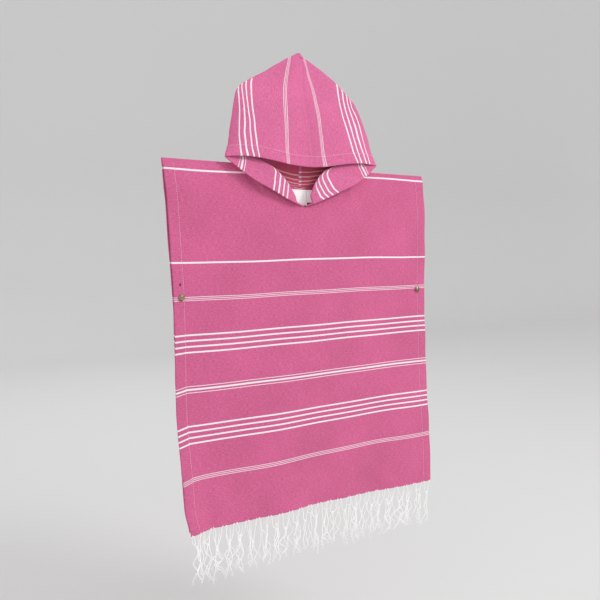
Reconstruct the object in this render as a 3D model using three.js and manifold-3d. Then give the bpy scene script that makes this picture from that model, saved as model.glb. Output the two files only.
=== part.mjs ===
// A child's hooded bath poncho in striped flat-woven towelling, hung by the tip of its hood on a wall hook.
// Millimetres, +Z up. The wall is the plane y = 0, the front of the garment faces -Y and +X is to the right.
// The origin is the middle of the hook plate's back face.

import * as THREE from 'three';
import { mergeVertices } from 'three/addons/utils/BufferGeometryUtils.js';
import Module from 'manifold-3d';

// Driving dimensions
const clothWall = 1.4; // one layer
const hemWall = 2.2; // turned and sewn edge
const seamGap = 0.3; // clear space between two pieces that are sewn or rest together
const seamLift = { front: 1.5, back: 0.6 }; // the hood's neck edge above the neckline
const bodyLength = 562; // shoulder to hem
const sideHem = 18; // width of the turned edge
const hemStep = 3; // the wall falls from double to single over this width
const shoulderLeftZ = -156.5;
const shoulderRightZ = -162.5;
const hemZ = -720.5;
const neckX = 4; // middle of the neckline
const neckHalf = 92;
const frontNeckDepth = 65;
const backNeckDepth = 34;
const neckPower = 1.35; // 1 is a plain V, 2 is a round scoop
const hoodTipZ = 20.3;
const fringeLength = 84;
const tasselCount = 24; // pairs of strands along each hem
const strand = { radius: 0.9, rootSpread: 4.2, knotDown: 33, knotSpread: 1.7, endSpread: 4.6, wander: 2.6 };
const fringeStrip = 2; // height of the band that the strands grow from

// Body sections, one for each height below the shoulder. left and right are the side edges in x.
// The rest is the y of the middle of the cloth, at the side edges and on the centre line of each panel.
const bodySections = [
  { down: 0, left: -233, right: 266, frontEdge: -8, frontMid: -8, backEdge: -6.3, backMid: -6.3 },
  { down: 12, left: -231.5, right: 267, frontEdge: -10.9, frontMid: -12.8, backEdge: -5.2, backMid: -5 },
  { down: 62, left: -227, right: 270.5, frontEdge: -13.2, frontMid: -18, backEdge: -5, backMid: -4.6 },
  { down: 146, left: -222.5, right: 272.5, frontEdge: -14.2, frontMid: -21.5, backEdge: -5.6, backMid: -4.8 },
  { down: 206, left: -219, right: 272.5, frontEdge: -14, frontMid: -22.5, backEdge: -7, backMid: -5 },
  { down: 280, left: -219, right: 273, frontEdge: -17, frontMid: -23.8, backEdge: -9.8, backMid: -5.6 },
  { down: 380, left: -219.5, right: 273.5, frontEdge: -22.5, frontMid: -26.5, backEdge: -14.4, backMid: -7 },
  { down: 475, left: -216.5, right: 276, frontEdge: -29, frontMid: -29, backEdge: -18.5, backMid: -9 },
  { down: 530, left: -215, right: 276, frontEdge: -33, frontMid: -30.3, backEdge: -21, backMid: -11 },
  { down: 562, left: -208.5, right: 275.5, frontEdge: -35, frontMid: -31, backEdge: -22.5, backMid: -12 },
];

// Slow folds of the hanging cloth: waves over the width, and depth at the hem. Each starts at a height.
const bodyFolds = [
  { panel: 'front', waves: 1.6, phase: 0.35, depth: 2.6, from: 180 },
  { panel: 'front', waves: 3.4, phase: 1.9, depth: 1.2, from: 300 },
  { panel: 'back', waves: 1.9, phase: 2.6, depth: 1.8, from: 220 },
];

// The lower left corners turn forward, the front one more
const cornerCurl = { width: 46, from: 380, front: 13, back: 9 };
const backInset = { hem: 4 }; // the back panel narrows a little towards its hem

// Rows of the panels' wall, as shares of the way from the top edge to the hem
const frontRows = [0, 0.018, 0.06, 0.12, 0.19, 0.27, 0.365, 0.45, 0.54, 0.63, 0.72, 0.81, 0.9, 1];
const backRows = [0, 0.022, 0.09, 0.18, 0.27, 0.365, 0.47, 0.6, 0.73, 0.87, 1];

// Neckline columns and hood neck points, as shares of half the neck's width from its middle
const centreStop = 0.01; // the hood's halves meet this near the middle of the V
const frontNeckStops = [centreStop, 0.14, 0.28, 0.42, 0.55, 0.67, 0.79, 0.9, 1];
const backNeckStops = [1, 0.86, 0.66, 0.44, 0.22, 0];

// Hood ribs: the lines of the cloth across the hood, square to its face edge. along is the cloth from the
// crown fold. Each rib passes its face edge, a point of the front or of the rolled collar, the side fold and
// the back seam, with x measured outward from the hood's middle. tuck draws the right side inward.
const hoodRibs = [
  { along: 0, edge: [0, -34, -160.2], front: [0, -28, -72], fold: [0, -19, 14],
    seam: [0, -11.5, 20.3], tuck: 0 },
  { along: 7, edge: [7, -34, -160.2], front: [6.8, -28, -72], fold: [5, -18.4, 14],
    seam: [0, -7.6, 17.6], tuck: 0 },
  { along: 16, edge: [16, -34, -159.6], front: [15.5, -27.6, -72], fold: [10, -17, 13],
    seam: [0, -6.2, 9], tuck: 0 },
  { along: 38, edge: [38, -33, -157.4], front: [35, -26, -75], fold: [25, -13.4, 11],
    seam: [0, -5.6, -10], tuck: 0 },
  { along: 76, edge: [78, -31, -151], front: [73, -25, -80], fold: [74, -11.8, -10],
    seam: [0, -5.4, -40], tuck: 0 },
  { along: 108, edge: [106, -29, -148.5], front: [101, -23, -92], fold: [110, -11, -34],
    seam: [0, -5.3, -65], tuck: 0 },
  { along: 128, edge: [124, -27, -148.8], front: [117, -20, -104], fold: [121, -10.8, -56],
    seam: [0, -5.2, -81], tuck: -1.5 },
  { along: 146, edge: [140, -24, -150], front: [133, -17, -128], fold: [133, -11.4, -106],
    seam: [0, -5.1, -95], tuck: -3.5 },
  { along: 153, edge: [143.5, -22, -151.5], front: [136, -17, -138], fold: [129, -12.5, -118],
    seam: [0, -5.1, -101], tuck: -3.5 },
  { along: 170, edge: [128, -25.5, -163], front: [121, -20, -148], fold: [119, -13, -124],
    seam: [0, -5.1, -114], tuck: -1 },
  { along: 200, edge: [98, -28, -183], front: [92, -24.5, -156], fold: [110, -13, -130],
    seam: [0, -5.1, -140], tuck: 2 },
  { along: 236, edge: [62, -28.5, -199], front: [58, -26.5, -165], fold: [104, -12.5, -138],
    seam: [0, -5, -166.5], tuck: 9 },
  { along: 264, edge: [36, -27, -210.5], front: [33, -25, -185], fold: [99, -11.5, -146],
    seam: [0, -5, -186.5], tuck: 13 },
  { along: 285, edge: [16, -25.5, -218.5], front: [19, -23.5, -204.5], fold: [95.5, -9.5, -153.5],
    seam: [0, -5, -190.8], tuck: 8 },
];

// The hood's middle line wanders a little on its way down
const hoodMiddle = [
  { down: 0, x: 0 },
  { down: 60, x: -4 },
  { down: 125, x: 5 },
  { down: 186, x: 8 },
  { down: 240, x: 5 },
];
const ribStops = [0, 0.42, 0.74, 1]; // where a rib passes its four points, as shares of the rib
const ribSoftness = 0.045; // how far its corners are rounded, as a share of the rib
const ribRows = [0, 0.09, 0.19, 0.3, 0.42, 0.52, 0.6, 0.67, 0.74, 0.79, 0.84, 0.9, 0.95, 1];
const hoodColumns = [0, 5, 11, 19, 28, 38, 50, 64, 78, 94, 108, 119, 129, 138, 146, 153, 162, 174, 188, 204,
  220, 236, 250, 264, 275, 285];

// Hardware and labels
const peg = { radius: 2, tipY: -10.5, hole: 2.4 };
const plate = { radius: 9, neckRadius: 2.6, depth: 2.5 };
const snapDown = 206;
const snapSeats = [{ name: 'left', x: -207.5 }, { name: 'right', x: 254.5 }];
const snap = { lockRadius: 3.8, backRadius: 4.2, backHeight: 1.1, clear: 0.4 };
const capProfile = [[0, 0], [2.4, 0.25], [4.1, 0.9], [4.8, 1.7], [4.8, 2.2], [0, 2.2]]; // radius, depth
const capHeight = 2.2;
const labels = [
  { name: 'label_main', left: -11, right: 19, drop: 25 },
  { name: 'label_small', left: 19.8, right: 31.5, drop: 20 },
];
const labelWall = 1;
const labelTop = 35.5; // below the shoulder line, just under the back neckline

// Materials
const materials = {
  cloth: { color: 0xd9608f, roughness: 0.92, metalness: 0 },
  hoodCloth: { color: 0xe0669a, roughness: 0.92, metalness: 0 },
  label: { color: 0xf4f2ef, roughness: 0.7, metalness: 0 },
  thread: { color: 0xefe9e8, roughness: 0.85, metalness: 0 },
  brass: { color: 0x7d6a49, roughness: 0.38, metalness: 0.85 },
  steel: { color: 0xb9bcc0, roughness: 0.35, metalness: 0.9 },
};

// Interpolation
const mix = (a, b, share) => a + (b - a) * share;
const mixPoint = (a, b, share) => a.map((value, axis) => mix(value, b[axis], share));
const clamp = (value, low, high) => Math.min(high, Math.max(low, value));
const smooth = (share) => {
  const t = clamp(share, 0, 1);
  return t * t * (3 - 2 * t);
};

function cubic(before, a, b, after, share) {
  const slopeA = (b - before) / 2;
  const slopeB = (after - a) / 2;
  const s2 = share * share;
  const s3 = s2 * share;
  const curve = (s3 - 2 * s2 + share) * slopeA + (s3 - s2) * slopeB;
  return (2 * s3 - 3 * s2 + 1) * a + (3 * s2 - 2 * s3) * b + curve;
}

// The row pair of a table that holds a value of its first column, and the share between them
function bracket(table, key, value) {
  let row = 0;
  while (row < table.length - 2 && value > table[row + 1][key]) row += 1;
  const share = (value - table[row][key]) / (table[row + 1][key] - table[row][key]);
  return { row, share: clamp(share, 0, 1) };
}

function smoothColumn(table, key, value, read) {
  const { row, share } = bracket(table, key, value);
  const before = read(table[Math.max(row - 1, 0)]);
  const after = read(table[Math.min(row + 2, table.length - 1)]);
  return cubic(before, read(table[row]), read(table[row + 1]), after, share);
}

// The body panels. side runs from -1 at the left edge to 1 at the right, down is measured from the shoulder.
const shoulderZ = (side) => mix(shoulderLeftZ, shoulderRightZ, (side + 1) / 2);

function sideEdges(down) {
  const left = smoothColumn(bodySections, 'down', down, (row) => row.left);
  const right = smoothColumn(bodySections, 'down', down, (row) => row.right);
  return { middle: (left + right) / 2, half: (right - left) / 2 };
}

function foldDepth(panel, side, down) {
  let depth = 0;
  for (const fold of bodyFolds) {
    if (fold.panel !== panel) continue;
    const growth = smooth((down - fold.from) / (bodyLength - fold.from));
    depth += fold.depth * growth * Math.sin(Math.PI * fold.waves * side + fold.phase);
  }
  return depth;
}

function panelPoint(panel, side, down) {
  const { middle, half } = sideEdges(down);
  const inset = panel === 'back' ? backInset.hem * smooth(down / bodyLength) : 0;
  const edgeY = smoothColumn(bodySections, 'down', down, (row) => row[`${panel}Edge`]);
  const middleY = smoothColumn(bodySections, 'down', down, (row) => row[`${panel}Mid`]);
  const inward = (1 - side * side) ** 2;
  let y = mix(edgeY, middleY, inward) + foldDepth(panel, side, down);
  const curl = smooth(1 - ((side + 1) * half) / cornerCurl.width);
  y -= cornerCurl[panel] * curl * smooth((down - cornerCurl.from) / (bodyLength - cornerCurl.from));
  const topZ = shoulderZ(side);
  return [middle + side * (half - inset), y, topZ - (down * (topZ - hemZ)) / bodyLength];
}

// The side value of a point of the shoulder line
const sideAtShoulder = (x) => (x - sideEdges(0).middle) / sideEdges(0).half;

function neckDrop(panel, stop) {
  const depth = panel === 'front' ? frontNeckDepth : backNeckDepth;
  return depth * (1 - Math.min(Math.abs(stop), 1) ** neckPower);
}

function neckPoint(panel, hand, stop) {
  return panelPoint(panel, sideAtShoulder(neckX + hand * stop * neckHalf), neckDrop(panel, stop));
}

function evenly(from, to, count) {
  return Array.from({ length: count + 1 }, (_, i) => mix(from, to, i / count));
}

// Columns of a panel as side values: side hem, shoulder, neckline, shoulder, side hem
function panelColumns(panel, shoulderSteps) {
  const hemSide = sideHem / sideEdges(0).half;
  const stops = panel === 'front' ? frontNeckStops : backNeckStops;
  const outward = stops.filter((stop) => stop > centreStop).sort((a, b) => a - b);
  const neck = [...outward.map((stop) => -stop).reverse(), 0, ...outward];
  const neckSides = neck.map((stop) => sideAtShoulder(neckX + stop * neckHalf));
  const single = 1 - hemSide - hemStep / sideEdges(0).half;
  const left = evenly(-single, neckSides[0], shoulderSteps).slice(0, -1);
  const right = evenly(neckSides.at(-1), single, shoulderSteps).slice(1);
  const hemStops = [1 - hemSide, 1 - hemSide / 2, 1];
  return [...hemStops.map((side) => -side).reverse(), ...left, ...neckSides, ...right, ...hemStops];
}

function panelGrid(panel, rowShares, shoulderSteps) {
  const columns = panelColumns(panel, shoulderSteps);
  const points = [];
  const inHem = [];
  for (const side of columns) {
    const stop = (panelPoint(panel, side, 0)[0] - neckX) / neckHalf;
    const top = neckDrop(panel, stop);
    for (const share of rowShares) {
      points.push(panelPoint(panel, side, mix(top, bodyLength, share)));
      inHem.push(Math.abs(side) * sideEdges(0).half > sideEdges(0).half - sideHem - hemStep / 2);
    }
  }
  const triangles = gridTriangles(columns.length, rowShares.length, panel === 'back');
  return { points, triangles, inHem };
}

function gridTriangles(columnCount, rowCount, flipped) {
  const triangles = [];
  for (let column = 0; column < columnCount - 1; column += 1) {
    for (let row = 0; row < rowCount - 1; row += 1) {
      const a = column * rowCount + row;
      const b = a + rowCount;
      const pair = [[a, a + 1, b + 1], [a, b + 1, b]];
      triangles.push(...(flipped ? pair.map((t) => [t[0], t[2], t[1]]) : pair));
    }
  }
  return triangles;
}

// Walls of cloth: every middle point is moved out and in along its normal, and the free edges are closed
function pointNormals(points, triangles) {
  const normals = points.map(() => new THREE.Vector3());
  const corner = (index) => new THREE.Vector3(...points[index]);
  for (const [a, b, c] of triangles) {
    const normal = corner(b).sub(corner(a)).cross(corner(c).sub(corner(a)));
    for (const index of [a, b, c]) normals[index].add(normal);
  }
  return normals.map((normal) => normal.normalize());
}

function freeEdges(triangles) {
  const used = new Set();
  for (const [a, b, c] of triangles) {
    for (const [from, to] of [[a, b], [b, c], [c, a]]) used.add(`${from} ${to}`);
  }
  const edges = [...used].map((edge) => edge.split(' ').map(Number));
  return edges.filter(([from, to]) => !used.has(`${to} ${from}`));
}

function wallOf({ points, triangles, inHem, wall = clothWall }) {
  const normals = pointNormals(points, triangles);
  const count = points.length;
  const position = [];
  const place = (point, normal, distance) => {
    position.push(...new THREE.Vector3(...point).addScaledVector(normal, distance).toArray());
  };
  points.forEach((point, i) => place(point, normals[i], (inHem[i] ? hemWall : wall) - wall / 2));
  points.forEach((point, i) => place(point, normals[i], -wall / 2));
  const index = [];
  for (const [a, b, c] of triangles) index.push(a, b, c, c + count, b + count, a + count);
  for (const [a, b] of freeEdges(triangles)) index.push(b, a, a + count, b, a + count, b + count);
  return indexedGeometry(position, index);
}

function indexedGeometry(position, index) {
  const geometry = new THREE.BufferGeometry();
  geometry.setAttribute('position', new THREE.Float32BufferAttribute(position, 3));
  geometry.setIndex(index);
  return geometry;
}

// The hood: ribs between the face edge and the back seam, and the neck edge along the two necklines
function ribPoint(hand, along, share) {
  const corners = ['edge', 'front', 'fold', 'seam'].map((name) =>
    [0, 1, 2].map((axis) => smoothColumn(hoodRibs, 'along', along, (row) => row[name][axis])));
  if (hand > 0) corners[1][0] -= smoothColumn(hoodRibs, 'along', along, (row) => row.tuck);
  const straight = (at) => {
    const stop = at < ribStops[1] ? 0 : at < ribStops[2] ? 1 : 2;
    const part = (at - ribStops[stop]) / (ribStops[stop + 1] - ribStops[stop]);
    return mixPoint(corners[stop], corners[stop + 1], part);
  };
  const reach = Math.min(ribSoftness, share, 1 - share);
  const around = mixPoint(straight(share - reach), straight(share + reach), 0.5);
  return mixPoint(straight(share), around, 0.5);
}

const neckLean = 0.8; // how much of the lift is also taken sideways where the neckline slants
const hoodNeckRow = frontNeckStops.length - 1;
const hoodMiddleX = (z) => smoothColumn(hoodMiddle, 'down', hoodTipZ - z, (row) => row.x);

function hoodNeckPoint(hand, row) {
  const panel = row <= hoodNeckRow ? 'front' : 'back';
  const stop = row <= hoodNeckRow ? frontNeckStops[row] : backNeckStops[row - hoodNeckRow];
  const lift = seamLift[panel];
  const [x, y, z] = neckPoint(panel, hand, stop);
  if (row !== hoodNeckRow) return [x - hand * stop * lift * neckLean, y, z + lift];
  const back = neckPoint('back', hand, stop);
  return [x, (y + back[1]) / 2, z + lift];
}

function hoodPoint(hand, column, row) {
  if (column === hoodColumns.length) return hoodNeckPoint(hand, row);
  const [x, y, z] = ribPoint(hand, hoodColumns[column], ribRows[row]);
  return [hoodMiddleX(z) + hand * x, y, z];
}

// Left half, crown and right half in one grid. The last points of opposite ribs are one point of the seam.
function hoodGrid() {
  const half = hoodColumns.length;
  const rowCount = frontNeckStops.length + backNeckStops.length - 1;
  const points = [];
  const inHem = [];
  const number = [];
  for (let column = -half; column <= half; column += 1) {
    const hand = column < 0 ? -1 : 1;
    number.push([]);
    for (let row = 0; row < rowCount; row += 1) {
      if (column > 0 && row === rowCount - 1) {
        number.at(-1).push(number[half - column][row]);
        continue;
      }
      number.at(-1).push(points.length);
      points.push(hoodPoint(hand, Math.abs(column), row));
      inHem.push(row <= 1 && Math.abs(column) < half);
    }
  }
  const triangles = [];
  for (let column = 0; column < number.length - 1; column += 1) {
    for (let row = 0; row < rowCount - 1; row += 1) {
      const a = number[column][row];
      const b = number[column + 1][row];
      const c = number[column + 1][row + 1];
      const d = number[column][row + 1];
      triangles.push(...[[a, b, c], [a, c, d]].filter((t) => new Set(t).size === 3));
    }
  }
  return { points, triangles, inHem };
}

// Booleans
const wasm = await Module();
wasm.setup();

function toManifold(geometry) {
  const bare = geometry.clone();
  bare.deleteAttribute('normal');
  bare.deleteAttribute('uv');
  const merged = mergeVertices(bare);
  return new wasm.Manifold(new wasm.Mesh({
    numProp: 3,
    vertProperties: new Float32Array(merged.attributes.position.array),
    triVerts: new Uint32Array(merged.index.array),
  }));
}

function fromManifold(solid) {
  const mesh = solid.getMesh();
  return indexedGeometry(Array.from(mesh.vertProperties), Array.from(mesh.triVerts));
}

// Round pieces turned about a line along y. Each row of the profile is a radius and a depth behind the first.
function turned(profile, segments, x, y, z) {
  const points = profile.map(([radius, depth]) => new THREE.Vector2(radius, depth));
  return new THREE.LatheGeometry(points, segments).translate(x, y, z);
}

// The wall hook: a drop-shaped plate with a peg that goes through the back seam into the tip of the hood
const pegZ = hoodTipZ - clothWall / 2 - seamGap - peg.radius;

function pegSolid(radius, tipY) {
  return new THREE.CylinderGeometry(radius, radius, -tipY - plate.depth / 2, 20)
    .translate(0, (tipY - plate.depth / 2) / 2, pegZ);
}

function hookGeometry() {
  const tangent = Math.asin((plate.radius - plate.neckRadius) / pegZ);
  const outline = new THREE.Shape();
  outline.absarc(0, pegZ, plate.neckRadius, tangent, Math.PI - tangent);
  outline.absarc(0, 0, plate.radius, Math.PI - tangent, 2 * Math.PI + tangent);
  const shape = { depth: plate.depth, bevelEnabled: false, curveSegments: 16 };
  const face = new THREE.ExtrudeGeometry(outline, shape);
  face.rotateX(Math.PI / 2);
  return fromManifold(toManifold(face).add(toManifold(pegSolid(peg.radius, peg.tipY))));
}

function hoodGeometry() {
  const pegWay = toManifold(pegSolid(peg.hole, peg.tipY - snap.clear));
  return fromManifold(toManifold(wallOf(hoodGrid())).subtract(pegWay));
}

// The side value of a point at a given x and distance below the shoulder
const sideAt = (x, down) => (x - sideEdges(down).middle) / sideEdges(down).half;

// Labels lie on the inside of the back panel, hanging from the neck seam
function labelGeometry({ left, right, drop }) {
  const columns = evenly(left, right, 4);
  const rows = evenly(labelTop, labelTop + drop, 4);
  const lift = clothWall / 2 + seamGap + labelWall / 2;
  const points = columns.flatMap((x) => rows.map((down) => {
    const [px, py, pz] = panelPoint('back', sideAt(x, down), down);
    return [px, py - lift, pz];
  }));
  const triangles = gridTriangles(columns.length, rows.length, false);
  return wallOf({ points, triangles, inHem: [], wall: labelWall });
}

// Press studs: a cap on the front, the fastened socket and stud between the panels, a ring on the back
function addSnap({ name, x }) {
  const side = sideAt(x, snapDown);
  const front = panelPoint('front', side, snapDown);
  const back = panelPoint('back', side, snapDown);
  const outer = hemWall - clothWall / 2 + snap.clear;
  const inner = clothWall / 2 + snap.clear;
  const { lockRadius, backRadius, backHeight } = snap;
  add(`snap_cap_${name}`, turned(capProfile, 20, x, front[1] - outer - capHeight, front[2]), 'brass');
  const lockDepth = back[1] - front[1] - 2 * inner;
  const lock = [[0, 0], [lockRadius, 0], [lockRadius, lockDepth], [0, lockDepth]];
  add(`snap_lock_${name}`, turned(lock, 16, x, front[1] + inner, front[2]), 'brass');
  const ring = [[0, 0], [backRadius, 0], [backRadius * 0.8, backHeight], [0, backHeight]];
  add(`snap_back_${name}`, turned(ring, 16, x, back[1] + outer, front[2]), 'brass');
}

// Fringe: pairs of strands that run together at a knot and part again, on a band under the hem
const scatter = (seed) => {
  const value = Math.sin(seed * 12.9898) * 43758.5453;
  return (value - Math.floor(value)) * 2 - 1;
};

function strandSolid(path) {
  const corners = [0, 1, 2].map((i) => (i * 2 * Math.PI) / 3);
  const position = path.flatMap(([x, y, z]) =>
    corners.flatMap((turn) => [x + strand.radius * Math.cos(turn), y + strand.radius * Math.sin(turn), z]));
  const index = [0, 1, 2];
  for (let ring = 0; ring < path.length - 1; ring += 1) {
    for (let i = 0; i < 3; i += 1) {
      const a = ring * 3 + i;
      const b = ring * 3 + ((i + 1) % 3);
      index.push(a, a + 3, b, b, a + 3, b + 3);
    }
  }
  const last = (path.length - 1) * 3;
  index.push(last, last + 2, last + 1);
  return toManifold(indexedGeometry(position, index));
}

function strandPath(panel, tassel, hand) {
  const leftX = panelPoint(panel, -1, bodyLength)[0];
  const x = mix(leftX, panelPoint(panel, 1, bodyLength)[0], (tassel + 0.5) / tasselCount);
  const seed = tassel * 2 + (hand > 0 ? 1 : 0) + (panel === 'back' ? 200 : 0);
  const hemY = panelPoint(panel, sideAt(x + hand * strand.rootSpread, bodyLength), bodyLength)[1];
  const topZ = hemZ - seamGap - fringeStrip / 2;
  const drift = strand.wander * scatter(tassel + (panel === 'back' ? 90 : 30));
  const endZ = hemZ - fringeLength - strand.wander * scatter(seed + 7);
  const knotZ = topZ - strand.knotDown;
  const waist = strand.rootSpread * 0.75;
  const tail = strand.knotSpread + strand.endSpread / 2;
  return [
    [x + hand * strand.rootSpread, hemY, topZ],
    [x + hand * waist + drift * 0.3, hemY, mix(topZ, knotZ, 0.5)],
    [x + hand * strand.knotSpread + drift, hemY, knotZ],
    [x + hand * tail + drift, hemY, mix(knotZ, endZ, 0.5)],
    [x + hand * (strand.endSpread + scatter(seed)) + drift, hemY + scatter(seed + 3), endZ],
  ];
}

function fringeGeometry(panel) {
  const columns = panelColumns(panel, 5);
  const rows = [seamGap, seamGap + fringeStrip];
  const points = columns.flatMap((side) => rows.map((below) => {
    const [x, y] = panelPoint(panel, side, bodyLength);
    return [x, y, hemZ - below];
  }));
  const band = wallOf({ points, triangles: gridTriangles(columns.length, rows.length, false), inHem: [] });
  let solid = toManifold(band);
  for (let tassel = 0; tassel < tasselCount; tassel += 1) {
    for (const hand of [-1, 1]) solid = solid.add(strandSolid(strandPath(panel, tassel, hand)));
  }
  return fromManifold(solid);
}

const group = new THREE.Group();

function add(name, geometry, material) {
  const mesh = new THREE.Mesh(geometry, new THREE.MeshStandardMaterial(materials[material]));
  mesh.name = name;
  group.add(mesh);
}

add('front_panel', wallOf(panelGrid('front', frontRows, 5)), 'cloth');
add('back_panel', wallOf(panelGrid('back', backRows, 4)), 'cloth');
add('hood', hoodGeometry(), 'hoodCloth');
labels.forEach((label) => add(label.name, labelGeometry(label), 'label'));
snapSeats.forEach(addSnap);
add('front_fringe', fringeGeometry('front'), 'thread');
add('back_fringe', fringeGeometry('back'), 'thread');
add('wall_hook', hookGeometry(), 'steel');

export default group;
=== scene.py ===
import math
import random

import bpy
import numpy as np
from mathutils import Matrix, Vector, noise


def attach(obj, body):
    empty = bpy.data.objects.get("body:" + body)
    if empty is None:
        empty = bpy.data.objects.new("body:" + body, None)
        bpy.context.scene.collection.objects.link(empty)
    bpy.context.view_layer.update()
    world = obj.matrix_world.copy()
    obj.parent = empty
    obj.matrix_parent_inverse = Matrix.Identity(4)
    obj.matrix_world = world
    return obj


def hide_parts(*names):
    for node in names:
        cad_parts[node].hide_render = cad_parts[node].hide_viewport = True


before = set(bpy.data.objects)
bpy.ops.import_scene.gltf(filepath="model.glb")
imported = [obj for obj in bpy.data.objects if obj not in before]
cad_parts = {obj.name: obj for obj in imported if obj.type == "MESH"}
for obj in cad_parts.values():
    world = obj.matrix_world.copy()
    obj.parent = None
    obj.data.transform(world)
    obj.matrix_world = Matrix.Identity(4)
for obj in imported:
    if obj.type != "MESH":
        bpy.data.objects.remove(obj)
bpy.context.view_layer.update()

# Hooded bath poncho on a wall hook. Lengths below are in millimetres,
# and are turned into metres when a mesh is made. +Z is up and the front faces -Y.
random.seed(11)
mm = 0.001

# Camera: standing left of the garment and looking along the wall a little from above the hem
camera = {"place": (-655.5, -1055.7, -267.0), "turn": 32.31, "tilt": -5.03, "roll": 0.19, "lens": 45.08}


def setCamera():
    turn, tilt, roll = (math.radians(camera[k]) for k in ("turn", "tilt", "roll"))
    ahead = Vector((math.sin(turn) * math.cos(tilt), math.cos(turn) * math.cos(tilt), math.sin(tilt)))
    right = Vector((math.cos(turn), -math.sin(turn), 0))
    up = right.cross(ahead)
    levelRight = right * math.cos(roll) + up * math.sin(roll)
    levelUp = up * math.cos(roll) - right * math.sin(roll)
    data = bpy.data.cameras.new("camera")
    data.lens = camera["lens"]
    data.sensor_width = 36
    data.clip_start = 0.01
    eye = bpy.data.objects.new("camera", data)
    bpy.context.scene.collection.objects.link(eye)
    spot = Vector(camera["place"]) * mm
    eye.matrix_world = Matrix.Translation(spot) @ Matrix((levelRight, levelUp, -ahead)).transposed().to_4x4()
    bpy.context.scene.camera = eye


setCamera()
bpy.context.scene.view_settings.view_transform = "Standard"  # keeps the dye's pink as it is mixed below
print("camera set")


# Reading the cut: every table is read with a smooth curve through its rows
def readAt(table, key, name, at):
    keys = np.array([row[key] for row in table], float)
    values = np.array([row[name] for row in table], float)
    at = np.asarray(at, float)
    i = np.clip(np.searchsorted(keys, at, side="left") - 1, 0, len(keys) - 2)
    s = np.clip((at - keys[i]) / (keys[i + 1] - keys[i]), 0, 1)
    a, b = values[i], values[i + 1]
    slopeA = (b - values[np.maximum(i - 1, 0)]) / 2
    slopeB = (values[np.minimum(i + 2, len(keys) - 1)] - a) / 2
    s2, s3 = s * s, s ** 3
    return (2 * s3 - 3 * s2 + 1) * a + (s3 - 2 * s2 + s) * slopeA + (3 * s2 - 2 * s3) * b + (s3 - s2) * slopeB


def ease(t):
    t = np.clip(t, 0, 1)
    return t * t * (3 - 2 * t)


def bump(distance, width):
    return np.exp(-(np.asarray(distance) / width) ** 2)


def rumple(points, scale, seed):  # soft unevenness, about -1 to 1
    shift = Vector((seed * 3.1, seed * 1.7, seed * 0.9))
    flat = points.reshape(-1, 3)
    found = [noise.noise(Vector(p) / scale + shift) for p in flat]
    return np.array(found).reshape(points.shape[:-1])


# Materials
def nodeTree(name):
    material = bpy.data.materials.new(name)
    material.use_nodes = True
    tree = material.node_tree
    tree.nodes.clear()
    shader = tree.nodes.new("ShaderNodeBsdfPrincipled")
    out = tree.nodes.new("ShaderNodeOutputMaterial")
    tree.links.new(shader.outputs[0], out.inputs[0])
    return material, tree, shader


def wire(tree, source, target):  # sets a plain value, or links a socket
    if isinstance(source, (int, float, tuple)):
        target.default_value = source
    else:
        tree.links.new(source, target)


def sums(tree, kind, *values):
    node = tree.nodes.new("ShaderNodeMath")
    node.operation = kind
    for value, socket in zip(values, node.inputs):
        wire(tree, value, socket)
    return node.outputs[0]


def spread(tree, value, low, high, toLow=0.0, toHigh=1.0, kind="SMOOTHSTEP"):
    node = tree.nodes.new("ShaderNodeMapRange")
    node.interpolation_type = kind
    for source, socket in zip((value, low, high, toLow, toHigh), node.inputs):
        wire(tree, source, socket)
    return node.outputs[0]


def blendColours(tree, share, a, b, kind="MIX"):
    node = tree.nodes.new("ShaderNodeMix")
    node.data_type = "RGBA"
    node.blend_type = kind
    for source, socket in zip((share, a, b), (0, 6, 7)):
        wire(tree, source, node.inputs[socket])
    return node.outputs[2]


def grain(tree, place, scale, detail=2.0, rough=0.5):
    node = tree.nodes.new("ShaderNodeTexNoise")
    for name, value in (("Vector", place), ("Scale", scale), ("Detail", detail), ("Roughness", rough)):
        wire(tree, value, node.inputs[name])
    return node.outputs["Fac"]


def stretched(tree, place, x, y, z=1.0):
    node = tree.nodes.new("ShaderNodeMapping")
    node.inputs["Scale"].default_value = (x, y, z)
    tree.links.new(place, node.inputs["Vector"])
    return node.outputs[0]


def roughen(tree, shader, height, strength, depth):  # fine relief, depth in metres
    relief = tree.nodes.new("ShaderNodeBump")
    for name, value in (("Height", height), ("Strength", strength), ("Distance", depth)):
        wire(tree, value, relief.inputs[name])
    tree.links.new(relief.outputs[0], shader.inputs["Normal"])


def dress(tree, shader, sockets):
    for name, value in sockets.items():
        wire(tree, value, shader.inputs[name])


# Woven stripes, by distance across the cloth: first line, pitch, number of lines, width of a line
stripeBlur = 0.18
bodyStripes = [
    (15.5, 1, 1, 2.7), (153, 1, 1, 2.7), (204.9, 2.6, 3, 0.85), (262.3, 8.75, 4, 2.5),
    (340.2, 9.6, 2, 1.0), (345, 1, 1, 2.8), (400.6, 8.6, 4, 2.5), (477.6, 2.6, 3, 0.85),
]
hoodStripes = [
    (35.4, 2.6, 3, 0.85), (94, 9.3, 4, 2.6), (174.1, 9.8, 2, 1.0), (179, 1, 1, 3.0),
    (236, 9.4, 4, 2.6),
]
towelling = {
    "pink": (0.66, 0.122, 0.28, 1), "light": (0.82, 0.33, 0.52, 1), "deep": (0.46, 0.062, 0.20, 1),
    "white": (0.97, 0.92, 0.95, 1), "thread": 0.9, "sheen": 0.16,
}


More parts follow.
